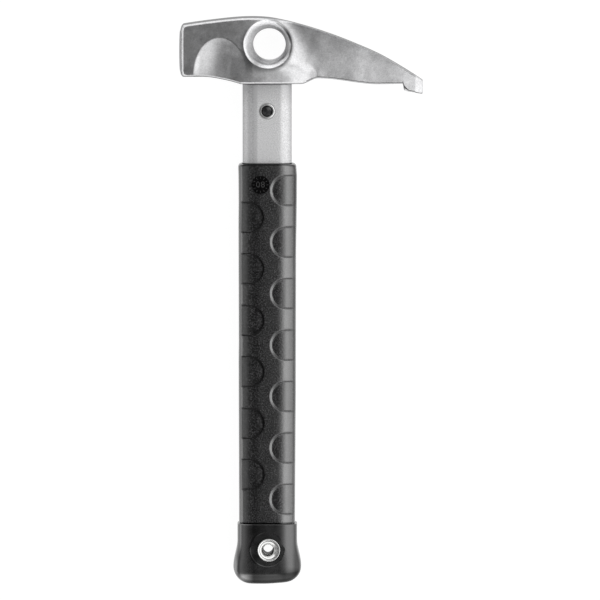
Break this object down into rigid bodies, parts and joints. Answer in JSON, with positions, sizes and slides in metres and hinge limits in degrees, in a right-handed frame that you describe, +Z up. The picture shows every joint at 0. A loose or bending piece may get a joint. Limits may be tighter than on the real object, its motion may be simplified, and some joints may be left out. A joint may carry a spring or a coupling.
{
  "type": "piton hammer",
  "caption": "Piton hammer with a forged head: square striking face, carabiner eye and hooked beak, on a tube handle with a rubber grip and a lanyard eyelet.",
  "frame": {"origin": "on the surface the hammer lies on, under the middle of its outline", "axes": "+Y along the handle towards the head, +X towards the tip of the beak, +Z up through the head's cheeks"},
  "size_m": [0.124, 0.2892, 0.025],
  "materials": {
    "forged_steel": "forged, bead blasted and plated, satin",
    "satin_aluminium": "satin anodised with fine grain",
    "blackened_steel": "black oxide",
    "grip_rubber": "moulded, fine grained, matt",
    "cap_rubber": "moulded, smooth satin",
    "black_nylon": "moulded nylon",
    "nickel_plate": "pressed and nickel plated"
  },
  "bodies": {
    "root": {"hammer_head": "forged_steel", "handle_tube": "satin_aluminium", "head_pin": "blackened_steel", "grip_sleeve": "grip_rubber", "end_cap": "cap_rubber", "tube_end_plug": "black_nylon", "eyelet_front": "nickel_plate", "eyelet_rear": "nickel_plate"}
  },
  "joints": []
}
